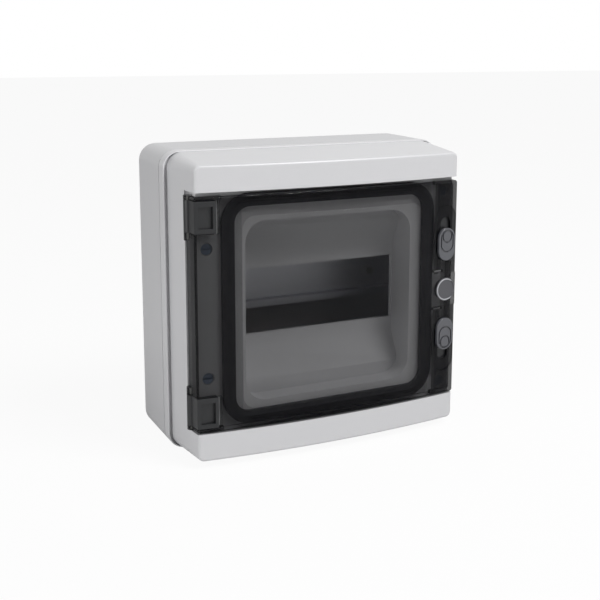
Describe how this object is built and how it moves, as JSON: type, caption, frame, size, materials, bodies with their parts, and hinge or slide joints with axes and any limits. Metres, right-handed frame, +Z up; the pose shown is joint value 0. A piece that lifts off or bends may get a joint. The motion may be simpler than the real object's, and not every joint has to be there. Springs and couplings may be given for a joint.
{
  "type": "dc combiner box",
  "caption": "Wall-mounted weatherproof enclosure with a bowed cover, a hinged see-through smoked door and a DIN rail behind a device slot.",
  "frame": {"origin": "centre of the four wall fixing holes, on the flat back face", "axes": "+X to the right as seen from the front, +Y into the wall, +Z up; the front faces -Y"},
  "size_m": [0.214, 0.1064, 0.21],
  "materials": {
    "base_plastic": "moulded light grey ABS",
    "cover_plastic": "moulded light grey ABS, semi-gloss",
    "smoked_door": "smoked clear polycarbonate",
    "gasket_rubber": "black cellular rubber",
    "black_plastic": "moulded black polyamide",
    "latch_plastic": "moulded dark grey polycarbonate",
    "steel": "zinc-plated steel",
    "zinc_rail": "rolled, zinc-plated and passivated",
    "brass": "machined brass",
    "blue_plastic": "moulded blue polyamide",
    "green_plastic": "moulded green polyamide",
    "screw_plastic": "moulded blue-grey polyamide"
  },
  "bodies": {
    "housing": {"base": "base_plastic", "base_gasket": "gasket_rubber", "cover": "cover_plastic", "door_seal": "gasket_rubber", "hinge_block_upper": "black_plastic", "hinge_block_lower": "black_plastic", "hinge_pin_upper": "steel", "hinge_pin_lower": "steel", "din_rail": "zinc_rail", "rail_screws": "steel", "terminal_holder_upper": "blue_plastic", "terminal_holder_lower": "green_plastic", "terminal_bar_upper": "brass", "terminal_bar_lower": "brass", "terminal_screws_upper": "steel", "terminal_screws_lower": "steel", "holder_screws": "steel", "cover_screws": "screw_plastic", "cover_screw_washers": "gasket_rubber", "cover_screw_inserts": "brass"},
    "door": {"door": "smoked_door", "lock_blank": "latch_plastic"},
    "latch_upper": {"latch_knob_upper": "latch_plastic", "latch_hook_upper": "black_plastic"},
    "latch_lower": {"latch_knob_lower": "latch_plastic", "latch_hook_lower": "black_plastic"}
  },
  "joints": [
    {"name": "door_hinge", "type": "hinge", "parent": "housing", "child": "door", "pos_m": [-0.09991, -0.0865, 0], "axis": [0, 0, -1], "range_deg": [0, 120]},
    {"name": "latch_upper_slide", "type": "slide", "parent": "door", "child": "latch_upper", "axis": [0, 0, 1], "range_m": [0, 0.012]},
    {"name": "latch_lower_slide", "type": "slide", "parent": "door", "child": "latch_lower", "axis": [0, 0, -1], "range_m": [0, 0.012]}
  ]
}
